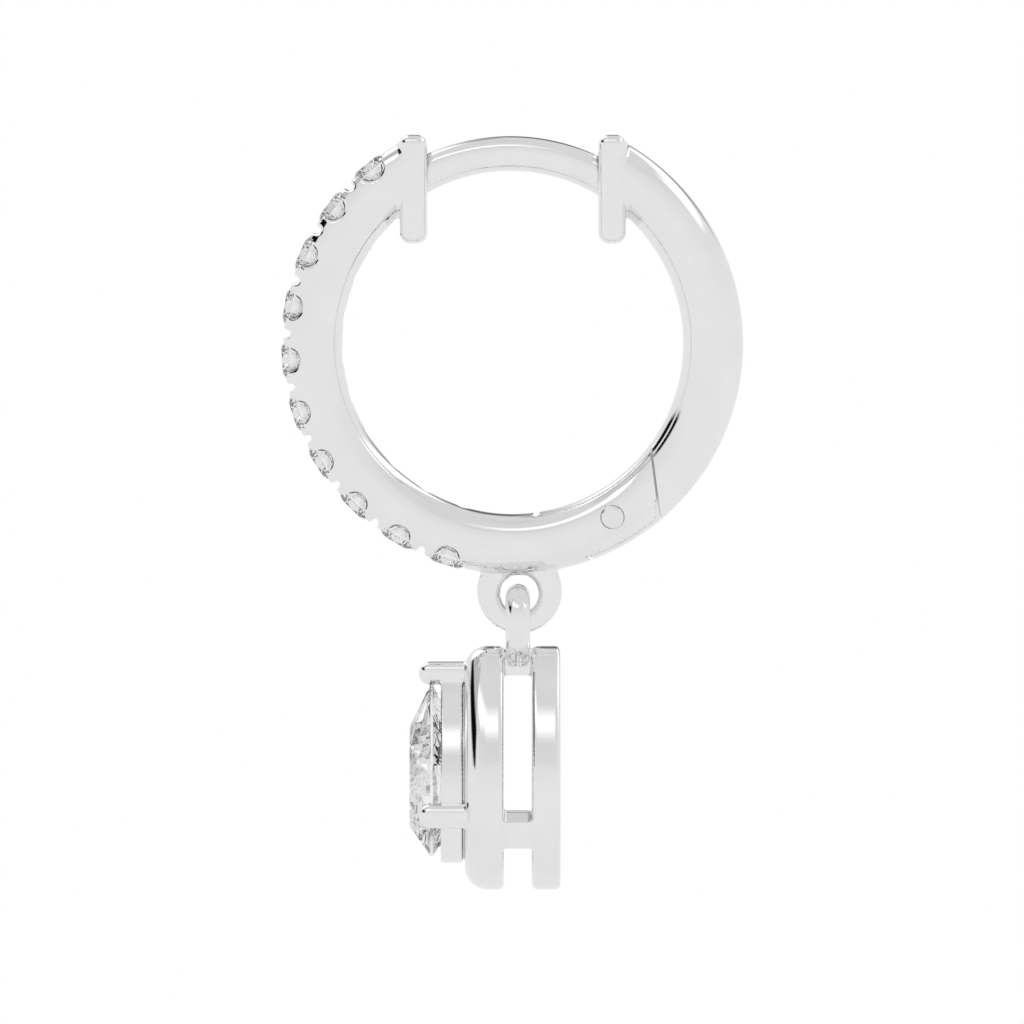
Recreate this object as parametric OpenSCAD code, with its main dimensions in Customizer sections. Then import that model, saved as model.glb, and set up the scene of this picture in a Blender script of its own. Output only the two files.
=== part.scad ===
// Hoop charm earring, in mm. A hinged hoop closes through the ear lobe with a curved post. Ten small
// stones sit in its front half, and a pear-shaped charm with one larger stone hangs below it.
// The hoop lies in the XZ plane and +Z is up. The origin is the middle of the post, in the lobe.

/* [Hoop] */
// Outside diameter of the hoop
hoop_d = 13.82; // [13.6:0.02:14.6]
// Thickness of the band from its inside to its outside
band_t = 1.8; // [1.7:0.02:1.96]
// Width of the band from front to back
band_w = 1.8; // [1.7:0.05:2.2]
// Rounding of the band's inside edges
inside_round = 0.88; // [0.5:0.02:0.88]
// Rounding of the band's outside edges
outside_round = 0.7; // [0.4:0.02:0.8]

/* [Ear post] */
// Open width between the two end plates
ear_gap = 5.14; // [4.9:0.02:5.4]
// Thickness of each end plate
plate_t = 0.82; // [0.76:0.02:0.94]
// Height of each end plate
plate_h = 3.25; // [2.9:0.05:3.6]
// Thickness of the post from its inside to its outside
post_t = 1.05; // [0.8:0.01:1.15]
// Width of the post from front to back
post_w = 1.05; // [0.8:0.01:1.15]

/* [Hinge] */
// Diameter of the hinge pin
pin_d = 0.72; // [0.6:0.02:0.84]
// Width of the tongue between the fork's cheeks
tongue_w = 0.8; // [0.6:0.02:0.96]

/* [Small stones] */
// Diameter of each small stone
stone_d = 1.44; // [1.24:0.02:1.46]
// Angle from one small stone to the next
stone_step = 13.75; // [13.65:0.05:14.1]

/* [Loop below the hoop] */
// Outside diameter of the loop
loop_d = 2.54; // [2.4:0.02:2.64]
// Diameter of the loop's hole
loop_hole_d = 1.14; // [1.1:0.02:1.24]
// Thickness of the loop from front to back
loop_t = 0.6; // [0.46:0.02:0.66]

/* [Charm] */
// Outside diameter of the round bail
bail_d = 2.53; // [2.5:0.01:2.7]
// Wire thickness of the bail
bail_wire = 0.74; // [0.66:0.01:0.76]
// Reach of the two rings beyond the pear stone
rim_reach = 1; // [0.96:0.01:1.12]
// Wall of the back ring
ring_wall = 0.9; // [0.7:0.01:0.94]
// Thickness of the back ring
back_ring_t = 0.86; // [0.7:0.02:1]
// Thickness of the front ring
front_ring_t = 1.17; // [0.95:0.01:1.3]
// Space between the two rings
ring_space = 0.84; // [0.8:0.02:1]
// Rounding of the front ring's outside edge
front_round = 0.7; // [0.3:0.05:0.75]

/* [Pear stone] */
// Width of the pear stone
pear_w = 3.66; // [3.4:0.02:3.9]
// Length of the pear stone
pear_l = 5.2; // [4.95:0.05:5.6]
// Height of its crown above the girdle
pear_crown_h = 0.62; // [0.4:0.01:0.75]

/* [Hidden] */
$fn = 48;
metal = [0.83, 0.84, 0.85];
clear_stone = [0.9, 0.95, 1];
lap = 0.1;
far = 20;

// Hoop and post arcs. A rounding takes at most this share of its bar's width.
round_share = 0.49;
band_inside_e = min(inside_round, band_w * round_share);
band_outside_e = min(outside_round, band_w * round_share);
hoop_r = hoop_d / 2;
inside_r = hoop_r - band_t;
mid_r = hoop_r - band_t / 2;
post_drop = 0.04;
post_in_r = inside_r - post_drop;
post_mid_r = post_in_r + post_t / 2;
post_lift = 0.105;
post_shift = -0.07;
hoop_z = -post_mid_r - post_lift;
post_z = hoop_z + post_lift;
post_play = 0.06;
post_round = min(post_w, post_t) * round_share;

// End plates
plate_x = ear_gap / 2 + plate_t / 2;
plate_proud = 0.02;
plate_top = hoop_z + sqrt(pow(hoop_r, 2) - pow(plate_x, 2)) + plate_proud;
plate_crown_r = plate_t * 0.55;
plate_corner = 0.42;
plate_foot_corner = 0.4;

// Post ends, as angles about the post's own centre, and the socket's angles about the pin
socket_depth = plate_t * 0.52;
post_tip_x = -ear_gap / 2 - socket_depth;
post_tip_a = acos((post_tip_x - post_shift) / post_mid_r);
post_root_a = acos((plate_x - post_shift) / post_mid_r);
post_tip_z = post_z + post_mid_r * sin(post_tip_a);

// Hinge: the pin, the joint line between the halves and the tongue
hinge_a = -60.2;
pin_x = mid_r * cos(hinge_a);
pin_z = hoop_z + mid_r * sin(hinge_a);
pin_r = pin_d / 2;
pin_proud = 0.04;
pin_edge = 0.1;
pin_seat_play = 0.012;
pin_run_play = 0.04;
joint_reach = 1.41;
joint_tilt = 7.4;
joint_gap = 0.08;
knuckle_r = 1.36;
tail_a = 143.2;
tail_l = 1.83;
tongue_play = 0.05;
tail_play = 0.12;
socket_r = sqrt(pow(post_tip_x - pin_x, 2) + pow(post_tip_z - pin_z, 2));
socket_a = atan2(post_tip_z - pin_z, post_tip_x - pin_x);
socket_end = 0.4;
socket_sweep = 7;

// Small stones, placed by their girdle
stone_count = 10;
first_stone_a = 129.3;
stone_r = stone_d / 2;
stone_table = 0.57;
stone_crown_h = stone_d * 0.18;
stone_pavilion_h = stone_d * 0.43;
stone_girdle_h = 0.03;
stone_play = 0.03;
stone_proud = 0.03;
girdle_r = hoop_r + stone_proud - stone_crown_h;
azure_r = stone_d * 0.19;
azure_past = 0.1;
window_r = stone_d * 0.25;
window_floor = 0.55;
notch_w = 0.24;
notch_floor_w = 0.08;
notch_depth = 0.24;
channel_w = stone_d * 0.56;
channel_over = 4.6;

// Loop and bail
loop_r = loop_d / 2;
loop_hole_r = loop_hole_d / 2;
loop_round = 0.14;
loop_hole_round = 0.22;
loop_x = 0.2;
loop_overlap = 0.757;
loop_z = hoop_z - hoop_r + loop_overlap - loop_r;
loop_hole_drop = 0.078;
loop_hole_z = loop_z - loop_hole_drop;
bail_r = bail_d / 2 - bail_wire / 2;
bail_play = 0.072;
charm_x = 0.15;
bail_z = loop_hole_z - bail_play - bail_r;

// Charm: the pear outline is one round end, two side arcs and a small tip arc
pear_a = 20;
pear_r = pear_w / 2;
pear_tip_r = 0.06;
pear_h = pear_l - pear_r - pear_tip_r;
rim_r = pear_r + rim_reach;
rim_stretch = 0.17;
rim_h = pear_h + rim_stretch;
rim_tip_r = rim_reach;
bail_sink = 0.6;
charm_top = bail_z - bail_sink;
charm_z = charm_top - rim_h - rim_tip_r;
back_x0 = ring_space / 2;
front_x1 = -ring_space / 2;
front_x0 = front_x1 - front_ring_t;
opening = -0.2;
round_steps = 36;
side_steps = 9;
tip_steps = 10;
edge_steps = 6;

// Bars between the rings
top_bar_w = 0.86;
top_bar_h = 0.77;
top_bar_drop = 0.12;
side_bar_a = -26;
side_bar_w = 0.87;
side_bar_t = 0.79;
side_bar_inset = 0.08;

// Gallery and prongs
gallery_reach = 0.2;
gallery_h = 0.66;
groove = 0.06;
gallery_x1 = front_x0 - groove;
gallery_x0 = gallery_x1 - gallery_h;
groove_reach = 0.1;
prong_sunk = 0.1;
prong_root = front_x0 + prong_sunk;
side_prong_r = 0.375;
side_prong_out = 0.205;
side_prong_top = 0.336;
side_prong_a = -17.5;
tip_prong_r = 0.36;
tip_prong_out = 0.278;
tip_prong_top = 0.342;
seat_play = 0.03;
seat_above = 0.14;
seat_below = 0.22;

// Pear stone, along X from its girdle
pear_girdle_h = 0.075;
gallery_drop = 0.24;
pear_x1 = gallery_x0 - gallery_drop;
pear_x0 = pear_x1 - pear_girdle_h;
pear_pavilion_h = pear_w * 0.42;
pear_table = 0.578;
pear_centre = 0.3;

// Facet rings of a brilliant cut, as shares of its outline and of its crown or pavilion height
FACETS = 8;
side_facets = FACETS / 2;
round_facet_a = 90 / (side_facets - 1);
star_ring = 0.8;
star_rise = 0.61;
low_ring = 0.25;
low_drop = 0.77;

// A flat shape drawn in X and Z, made w thick about Y
module in_plane(w) {
  rotate([90, 0, 0])
    linear_extrude(w, center = true)
      children();
}

// A profile turned about the Y axis from angle a0 over angle a, counted from +X towards +Z
module turned(a0 = 0, a = 360) {
  rotate([90, 0, 0])
    rotate([0, 0, a0])
      rotate_extrude(angle = a)
        children();
}

// A bar's section from radius r0 to r1, w wide, with rounding e0 on its inside edges and e1 outside
module bar_section(r0, r1, w, e0, e1) {
  translate([r0 + e0, -w / 2])
    square([r1 - r0 - e0 - e1, w]);
  translate([r0, e0 - w / 2])
    square([e0 * 2, w - e0 * 2]);
  translate([r1 - e1 * 2, e1 - w / 2])
    square([e1 * 2, w - e1 * 2]);
  for (side = [-1, 1]) {
    translate([r0 + e0, side * (w / 2 - e0)])
      circle(e0);
    translate([r1 - e1, side * (w / 2 - e1)])
      circle(e1);
  }
}

module band() {
  translate([0, 0, hoop_z])
    turned()
      bar_section(inside_r, hoop_r, band_w, band_inside_e, band_outside_e);
}

// Everything on the back half's side of the joint line, moved off it by offset
module back_side(off) {
  translate([pin_x, pin_z])
    rotate(joint_tilt)
      translate([joint_reach + off, -mid_r])
        square([far, far]);
  translate([plate_x, hoop_z])
    square([far, far]);
}

// Flat outline of the tongue beside the pin; grow makes the fork's slot from it
module tongue_outline(grow = 0, end_grow = 0) {
  intersection() {
    translate([0, hoop_z])
      difference() {
        circle(hoop_r + end_grow);
        circle(inside_r - end_grow);
      }
    translate([pin_x, pin_z]) {
      circle(knuckle_r + grow);
      rotate(tail_a)
        square([tail_l + end_grow, knuckle_r + grow]);
      rotate(joint_tilt)
        translate([0, -knuckle_r * 2])
          square([joint_reach + joint_gap + lap, knuckle_r * 4]);
    }
  }
}

// A post section swept in the XZ plane
module post_section(play = 0) {
  bar_section(-post_t / 2 - play, post_t / 2 + play, post_w + play * 2, post_round + play, post_round + play);
}

module post() {
  translate([post_shift, 0, post_z])
    turned(post_root_a, post_tip_a - post_root_a)
      translate([post_mid_r, 0])
        post_section();
}

// The socket follows the path that the post takes about the pin
module post_socket() {
  translate([pin_x, 0, pin_z])
    turned(socket_a + socket_end - socket_sweep, socket_sweep)
      translate([socket_r, 0])
        post_section(post_play);
}

module end_plate(side) {
  foot_z = plate_top - plate_h + plate_t / 2;
  shoulder_z = plate_top - plate_crown_r;
  intersection() {
    translate([side * plate_x, 0, 0])
      in_plane(band_w) {
        translate([0, foot_z])
          circle(plate_t / 2);
        translate([-plate_t / 2, foot_z])
          square([plate_t, shoulder_z - foot_z + lap]);
        intersection() {
          translate([0, shoulder_z])
            circle(plate_crown_r);
          translate([-plate_t / 2, shoulder_z - lap])
            square([plate_t, plate_crown_r * 2]);
        }
      }
    translate([side * plate_x - plate_t, 0, 0])
      rotate([90, 0, 90])
        linear_extrude(plate_t * 2) {
          translate([-band_w / 2, plate_top - plate_h + plate_foot_corner])
            square([band_w, plate_h - plate_foot_corner - plate_corner]);
          translate([plate_corner - band_w / 2, plate_top - plate_h / 2])
            square([band_w - plate_corner * 2, plate_h / 2]);
          translate([plate_foot_corner - band_w / 2, plate_top - plate_h])
            square([band_w - plate_foot_corner * 2, plate_h / 2]);
          for (edge = [-1, 1]) {
            translate([edge * (band_w / 2 - plate_corner), plate_top - plate_corner])
              circle(plate_corner);
            translate([edge * (band_w / 2 - plate_foot_corner), plate_top - plate_h + plate_foot_corner])
              circle(plate_foot_corner);
          }
        }
  }
}

// Places its children on the band at a stone, with their Z axis pointing outwards
module on_band(i, share = 0) {
  translate([0, 0, hoop_z])
    rotate([0, 90 - first_stone_a - (i + share) * stone_step, 0])
      children();
}

// The opening behind a stone, its seat, and the room for its crown below the prongs
module stone_seat() {
  seat_r = stone_r + stone_play;
  crown_z = girdle_r + stone_girdle_h + stone_play;
  rotate_extrude()
    polygon([
      [0, inside_r - azure_past],
      [azure_r, inside_r - azure_past],
      [azure_r, girdle_r - (stone_r - azure_r) * stone_pavilion_h / stone_r - stone_play],
      [seat_r, girdle_r - stone_play],
      [seat_r, crown_z],
      [stone_r * stone_table + stone_play, crown_z + stone_crown_h],
      [stone_r * stone_table + stone_play, hoop_r + band_t],
      [0, hoop_r + band_t]
    ]);
}

// The rounded window through the band's sides below a stone
module stone_window() {
  rotate([90, 0, 0])
    linear_extrude(band_w * 2, center = true) {
      translate([0, hoop_r - window_floor + window_r])
        circle(window_r);
      translate([-window_r, hoop_r - window_floor + window_r])
        square([window_r * 2, band_t]);
    }
}

// The notch that parts the prongs between two stones
module prong_notch() {
  rotate([90, 0, 0])
    linear_extrude(band_w * 2, center = true)
      polygon([
        [-notch_floor_w / 2, hoop_r - notch_depth],
        [notch_floor_w / 2, hoop_r - notch_depth],
        [notch_w, hoop_r + notch_depth * 2],
        [-notch_w, hoop_r + notch_depth * 2]
      ]);
}

// The groove along the middle of the band that leaves two rows of prongs
module prong_channel() {
  translate([0, 0, hoop_z])
    turned(first_stone_a - channel_over, (stone_count - 1) * stone_step + channel_over * 2)
      translate([hoop_r - notch_depth, -channel_w / 2])
        square([notch_depth * 2, channel_w]);
}

module hanging_loop() {
  translate([loop_x, 0, loop_z])
    turned()
      intersection() {
        bar_section(-loop_r, loop_r, loop_t, loop_round, loop_round);
        translate([0, -loop_t])
          square([loop_d, loop_t * 2]);
      }
}

// The loop's hole with rounded edges
module loop_hole() {
  translate([loop_x, 0, loop_hole_z])
    turned()
      difference() {
        translate([0, -loop_t])
          square([loop_hole_r + loop_hole_round, loop_t * 2]);
        translate([loop_hole_r, loop_hole_round - loop_t / 2])
          square([loop_hole_round * 2, loop_t - loop_hole_round * 2]);
        for (side = [-1, 1])
          translate([loop_hole_r + loop_hole_round, side * (loop_t / 2 - loop_hole_round)])
            circle(loop_hole_round);
      }
}

module hoop_front() {
  color(metal)
    difference() {
      union() {
        difference() {
          band();
          in_plane(band_w * 2) {
            back_side(-joint_gap / 2);
            translate([-plate_x, hoop_z])
              square([far, far]);
          }
        }
        end_plate(-1);
        hanging_loop();
      }
      in_plane(tongue_w + tongue_play * 2)
        tongue_outline(tongue_play, tail_play);
      translate([pin_x, 0, pin_z])
        rotate([90, 0, 0])
          cylinder(h = band_w * 2, r = pin_r + pin_seat_play, center = true);
      loop_hole();
      post_socket();
      prong_channel();
      for (i = [0 : stone_count - 1]) {
        on_band(i) {
          stone_seat();
          stone_window();
        }
        if (i > 0)
          on_band(i, -0.5)
            prong_notch();
      }
    }
}

module hoop_back() {
  color(metal)
    difference() {
      union() {
        intersection() {
          band();
          in_plane(band_w * 2)
            back_side(joint_gap / 2);
        }
        in_plane(tongue_w)
          tongue_outline();
        end_plate(1);
        post();
      }
      translate([pin_x, 0, pin_z])
        rotate([90, 0, 0])
          cylinder(h = band_w * 2, r = pin_r + pin_run_play, center = true);
    }
}

module hinge_pin() {
  pin_l = band_w + pin_proud * 2;
  color(metal)
    translate([pin_x, pin_l / 2, pin_z])
      rotate([90, 0, 0]) {
        cylinder(h = pin_edge, r1 = pin_r - pin_edge, r2 = pin_r);
        translate([0, 0, pin_edge])
          cylinder(h = pin_l - pin_edge * 2, r = pin_r);
        translate([0, 0, pin_l - pin_edge])
          cylinder(h = pin_edge, r1 = pin_r, r2 = pin_r - pin_edge);
      }
}

// A brilliant cut from its girdle outline, a closed list of 2 * FACETS points. Z points up out of
// the table, c is the outline's middle, and table, crown and pavilion give its proportions.
module brilliant(outline, c, table, crown, girdle, pavilion) {
  n = len(outline);
  even = [for (i = [0 : FACETS - 1]) outline[2 * i]];
  odd = [for (i = [0 : FACETS - 1]) outline[2 * i + 1]];
  points = concat(
    [for (p = even) facet_point(p, c, table, girdle + crown)],
    [for (p = odd) facet_point(p, c, star_ring, girdle + crown * star_rise)],
    [for (p = outline) facet_point(p, c, 1, girdle)],
    [for (p = outline) facet_point(p, c, 1, 0)],
    [for (p = odd) facet_point(p, c, low_ring, -pavilion * low_drop)],
    [[c[0], c[1], -pavilion]]
  );
  star = FACETS;
  top = FACETS * 2;
  foot = top + n;
  low = foot + n;
  culet = low + FACETS;
  polyhedron(points, concat(
    [[for (i = [FACETS - 1 : -1 : 0]) i]],
    [for (i = [0 : FACETS - 1]) [i, next(i, FACETS), star + i]],
    [for (i = [0 : FACETS - 1]) [i, star + i, top + 2 * i]],
    [for (i = [0 : FACETS - 1]) [next(i, FACETS), top + next(2 * i + 1, n), star + i]],
    [for (i = [0 : FACETS - 1]) [star + i, top + 2 * i + 1, top + 2 * i]],
    [for (i = [0 : FACETS - 1]) [star + i, top + next(2 * i + 1, n), top + 2 * i + 1]],
    [for (i = [0 : n - 1]) [top + i, top + next(i, n), foot + next(i, n), foot + i]],
    [for (i = [0 : FACETS - 1]) [low + i, foot + 2 * i, foot + 2 * i + 1]],
    [for (i = [0 : FACETS - 1]) [low + i, foot + 2 * i + 1, foot + next(2 * i + 1, n)]],
    [for (i = [0 : FACETS - 1]) [culet, foot + 2 * i, low + i]],
    [for (i = [0 : FACETS - 1]) [culet, low + i, foot + next(2 * i + 1, n)]]
  ));
}

function next(i, n) = (i + 1) % n;

function facet_point(p, c, share, z) =
  [c[0] + (p[0] - c[0]) * share, c[1] + (p[1] - c[1]) * share, z];

module small_stone(i) {
  outline = [for (k = [0 : FACETS * 2 - 1]) let (a = k * 180 / FACETS) [stone_r * cos(a), stone_r * sin(a)]];
  color(clear_stone)
    on_band(i)
      translate([0, 0, girdle_r])
        brilliant(outline, [0, 0], stone_table, stone_crown_h - stone_girdle_h, stone_girdle_h,
          stone_pavilion_h);
}

module stone_01() {
  small_stone(0);
}

module stone_02() {
  small_stone(1);
}

module stone_03() {
  small_stone(2);
}

module stone_04() {
  small_stone(3);
}

module stone_05() {
  small_stone(4);
}

module stone_06() {
  small_stone(5);
}

module stone_07() {
  small_stone(6);
}

module stone_08() {
  small_stone(7);
}

module stone_09() {
  small_stone(8);
}

module stone_10() {
  small_stone(9);
}

// Radius of a pear's side arcs, from its round end's radius, its tip arc's height and radius
function side_r(r, h, q) =
  (r * r + h * h - q * q - 2 * h * r * sin(pear_a)) / (2 * (r - q - h * sin(pear_a)));

// Angle where a side arc meets the tip arc
function tip_a(r, h, q) =
  atan2(h + (side_r(r, h, q) - r) * sin(pear_a), (side_r(r, h, q) - r) * cos(pear_a));

// Places its children in the charm's own frame: X across the pear, Y up it, Z along the hoop's X
module on_charm() {
  translate([charm_x, 0, charm_z])
    rotate([90, 0, 90])
      children();
}

// Flat pear outline, its round end about the origin and its tip at h + q
module pear(r, h, q) {
  s = side_r(r, h, q);
  a = tip_a(r, h, q);
  side_x = (s - r) * cos(pear_a);
  side_y = (s - r) * sin(pear_a);
  circle(r);
  translate([0, h])
    circle(q);
  intersection() {
    translate([-side_x, -side_y])
      circle(s);
    translate([side_x, -side_y])
      circle(s);
    translate([-far / 2, r * sin(pear_a)])
      square([far, h + q * sin(a) - r * sin(pear_a)]);
  }
}

// Points on an arc from angle a0 up to but not including a1
function arc_points(x, y, r, a0, a1, n) =
  [for (i = [0 : n - 1]) let (a = a0 + (a1 - a0) * i / n) [x + r * cos(a), y + r * sin(a)]];

// The pear outline as a closed list of points
function pear_outline(r, h, q) =
  let (s = side_r(r, h, q), a = tip_a(r, h, q), x = (s - r) * cos(pear_a), y = (s - r) * sin(pear_a))
  concat(
    arc_points(0, 0, r, 180 - pear_a, 360 + pear_a, round_steps),
    arc_points(-x, -y, s, pear_a, a, side_steps),
    arc_points(0, h, q, a, 180 - a, tip_steps),
    arc_points(x, -y, s, 180 - a, 180 - pear_a, side_steps)
  );

// A solid through equal closed lists of points, one above the other
module stacked(layers) {
  n = len(layers[0]);
  k = len(layers);
  polyhedron([for (layer = layers) each layer], concat(
    [[for (i = [0 : n - 1]) i]],
    [[for (i = [n - 1 : -1 : 0]) (k - 1) * n + i]],
    [for (j = [0 : k - 2]) for (i = [0 : n - 1])
      [j * n + i, (j + 1) * n + i, (j + 1) * n + next(i, n), j * n + next(i, n)]]
  ));
}

module pear_slab(r, h, q, z0, z1) {
  translate([0, 0, z0])
    linear_extrude(z1 - z0)
      pear(r, h, q);
}

module back_ring() {
  difference() {
    pear_slab(rim_r, rim_h, rim_tip_r, back_x0, back_x0 + back_ring_t);
    pear_slab(rim_r - ring_wall, rim_h, rim_tip_r - ring_wall, back_x0 - lap, back_x0 + back_ring_t + lap);
  }
}

// The front ring before it is bored, with its outside edge rounded at the front
module front_ring() {
  rounding = [for (i = [0 : edge_steps]) let (a = 90 * i / edge_steps)
    [front_round * (1 - sin(a)), front_x0 + front_round * (1 - cos(a))]];
  stacked([for (step = concat(rounding, [[0, front_x1]]))
    [for (p = pear_outline(rim_r - step[0], rim_h, rim_tip_r - step[0])) [p[0], p[1], step[1]]]]);
}

module gallery() {
  pear_slab(pear_r + gallery_reach, pear_h, pear_tip_r + gallery_reach, gallery_x0, gallery_x1);
  pear_slab(pear_r + groove_reach, pear_h, pear_tip_r + groove_reach, gallery_x1 - lap, front_x0 + lap);
}

module bars() {
  reach = ring_space / 2 + lap;
  translate([-top_bar_w / 2, rim_h + rim_tip_r - top_bar_drop - top_bar_h, -reach])
    cube([top_bar_w, top_bar_h, reach * 2]);
  for (side = [0, 1])
    mirror([side, 0, 0])
      rotate([0, 0, side_bar_a])
        translate([rim_r - side_bar_inset - side_bar_t, -side_bar_w / 2, -reach])
          cube([side_bar_t, side_bar_w, reach * 2]);
}

// A round wire prong of radius r with a ball end; its middle stands at the distance reach
module prong(reach, r, end) {
  translate([reach, 0, end])
    rotate_extrude()
      intersection() {
        union() {
          translate([0, r])
            circle(r);
          translate([-r, r])
            square([r * 2, prong_root - end - r]);
        }
        square([r, prong_root - end]);
      }
}

module prongs() {
  for (side = [0, 1])
    mirror([side, 0, 0])
      rotate([0, 0, side_prong_a])
        prong(pear_r + side_prong_out, side_prong_r, pear_x0 - side_prong_top);
  rotate([0, 0, 90])
    prong(pear_h + pear_tip_r + tip_prong_out, tip_prong_r, pear_x0 - tip_prong_top);
}

module bail() {
  translate([0, bail_z - charm_z, 0])
    rotate_extrude()
      translate([bail_r, 0])
        circle(bail_wire / 2);
}

module charm_frame() {
  color(metal)
    on_charm() {
      back_ring();
      bars();
      bail();
      difference() {
        union() {
          front_ring();
          gallery();
          prongs();
        }
        pear_slab(pear_r + opening, pear_h, pear_tip_r, gallery_x0 - lap, front_x1 + lap);
        pear_slab(pear_r + seat_play, pear_h, pear_tip_r + seat_play, pear_x0 - seat_above,
          pear_x1 + seat_below);
      }
    }
}

// Girdle point i of the pear stone, from the foot of the round end up the right side to the tip
function pear_point(i) =
  i < side_facets ? [pear_r * sin(i * round_facet_a), -pear_r * cos(i * round_facet_a)] :
  i == FACETS ? [0, pear_h + pear_tip_r] :
  let (
    s = side_r(pear_r, pear_h, pear_tip_r),
    a = pear_a + (i / side_facets - 1) * (tip_a(pear_r, pear_h, pear_tip_r) - pear_a)
  )
  [s * cos(a) - (s - pear_r) * cos(pear_a), s * sin(a) - (s - pear_r) * sin(pear_a)];

function pear_girdle(i) =
  i <= FACETS ? pear_point(i) : [-pear_point(2 * FACETS - i)[0], pear_point(2 * FACETS - i)[1]];

module pear_stone() {
  color(clear_stone)
    on_charm()
      translate([0, 0, pear_x1])
        mirror([0, 0, 1])
          brilliant([for (i = [0 : FACETS * 2 - 1]) pear_girdle(i)], [0, pear_centre], pear_table,
            pear_crown_h, pear_girdle_h, pear_pavilion_h);
}

hoop_front();
stone_01();
stone_02();
stone_03();
stone_04();
stone_05();
stone_06();
stone_07();
stone_08();
stone_09();
stone_10();
hinge_pin();
hoop_back();
charm_frame();
pear_stone();
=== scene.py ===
import math

import bmesh
import bpy
import numpy as np
from mathutils import Matrix, Vector


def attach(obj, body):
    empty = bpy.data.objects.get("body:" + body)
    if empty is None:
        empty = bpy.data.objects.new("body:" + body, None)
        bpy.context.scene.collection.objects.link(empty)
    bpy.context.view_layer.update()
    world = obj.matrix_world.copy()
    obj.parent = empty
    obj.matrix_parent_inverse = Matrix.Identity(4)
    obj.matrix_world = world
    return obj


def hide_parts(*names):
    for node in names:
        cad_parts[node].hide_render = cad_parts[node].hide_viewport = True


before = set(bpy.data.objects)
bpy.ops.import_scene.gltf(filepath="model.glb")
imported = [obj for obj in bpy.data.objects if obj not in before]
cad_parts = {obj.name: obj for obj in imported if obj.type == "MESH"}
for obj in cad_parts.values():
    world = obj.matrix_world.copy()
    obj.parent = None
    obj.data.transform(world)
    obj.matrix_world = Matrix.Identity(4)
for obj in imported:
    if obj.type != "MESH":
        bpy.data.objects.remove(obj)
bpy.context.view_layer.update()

mm = 0.001
print("frame loaded")

# Solid forms are signed distances in millimetres, below zero inside. They take arrays that broadcast.

def roundMax(a, b, r):  # both solids' common part, its edge rounded off
    return np.minimum(-r, np.maximum(a, b)) + np.hypot(np.maximum(a + r, 0), np.maximum(b + r, 0))


def roundMin(a, b, r):  # two solids joined, with a fillet between them
    return -roundMax(-a, -b, r)


def roundBox(px, py, halfX, halfY, r):
    qx = np.abs(px) - halfX + r
    qy = np.abs(py) - halfY + r
    return np.hypot(np.maximum(qx, 0), np.maximum(qy, 0)) + np.minimum(np.maximum(qx, qy), 0) - r


# How finely the skin is worked out: shares of a grid step, but for the probe's reach in mm
skin = {"probe": 0.0004, "least": 1e-12, "rounds": 3, "keepOff": 0.03, "hold": 0.02, "past": 0.1,
        "inward": 0.35}


def slopeOf(shape, x, y, z):  # unit direction that leads out of the solid
    here, reach = shape(x, y, z), skin["probe"]
    g = np.stack([shape(x + reach, y, z) - here, shape(x, y + reach, z) - here,
                  shape(x, y, z + reach) - here], -1)
    return g / np.maximum(np.linalg.norm(g, axis=1, keepdims=True), skin["least"])


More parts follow.
